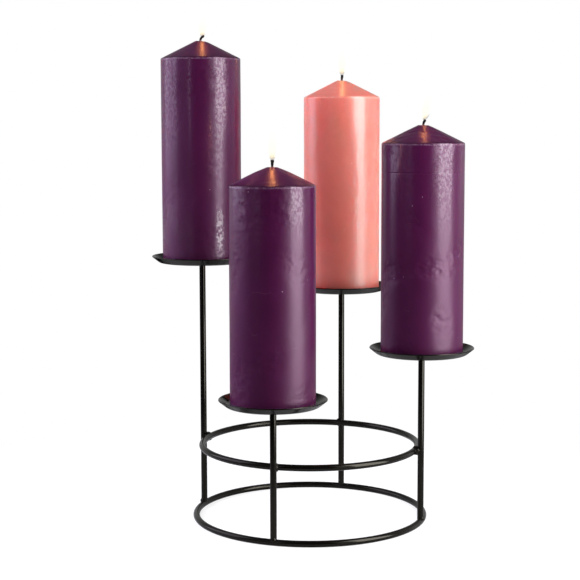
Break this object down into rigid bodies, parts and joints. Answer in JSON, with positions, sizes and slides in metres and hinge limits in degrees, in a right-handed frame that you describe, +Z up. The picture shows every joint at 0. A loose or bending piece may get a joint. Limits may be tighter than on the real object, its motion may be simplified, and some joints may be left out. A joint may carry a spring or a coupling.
{
  "type": "advent candle holder",
  "caption": "Tiered advent candle holder: a welded black wire stand on rings, with saucers that climb in a spiral, each carrying a tall pillar candle with a pointed top.",
  "frame": {"origin": "on the table, under the middle of the two rings", "axes": "+Z up; -Y towards the lowest tier, +X towards the second, +Y the third, -X the highest"},
  "size_m": [0.315, 0.315, 0.4595],
  "materials": {
    "black_iron": "satin",
    "purple_wax": "satin",
    "rose_wax": "satin",
    "wick": "matte"
  },
  "bodies": {
    "stand": {"base_ring": "black_iron", "upper_ring": "black_iron", "base_welds": "black_iron", "ring_welds": "black_iron", "tray_welds": "black_iron", "post_front": "black_iron", "post_right": "black_iron", "post_back": "black_iron", "post_left": "black_iron", "tray_front": "black_iron", "tray_right": "black_iron", "tray_back": "black_iron", "tray_left": "black_iron", "pricket_front": "black_iron", "pricket_right": "black_iron", "pricket_back": "black_iron", "pricket_left": "black_iron"},
    "front_candle": {"candle_front": "purple_wax", "wick_front": "wick"},
    "right_candle": {"candle_right": "purple_wax", "wick_right": "wick"},
    "back_candle": {"candle_back": "rose_wax", "wick_back": "wick"},
    "left_candle": {"candle_left": "purple_wax", "wick_left": "wick"}
  },
  "joints": [
    {"name": "front_candle_lift", "type": "slide", "parent": "stand", "child": "front_candle", "axis": [0, 0, 1], "range_m": [0, 0.05]},
    {"name": "right_candle_lift", "type": "slide", "parent": "stand", "child": "right_candle", "axis": [0, 0, 1], "range_m": [0, 0.05]},
    {"name": "back_candle_lift", "type": "slide", "parent": "stand", "child": "back_candle", "axis": [0, 0, 1], "range_m": [0, 0.05]},
    {"name": "left_candle_lift", "type": "slide", "parent": "stand", "child": "left_candle", "axis": [0, 0, 1], "range_m": [0, 0.05]}
  ]
}
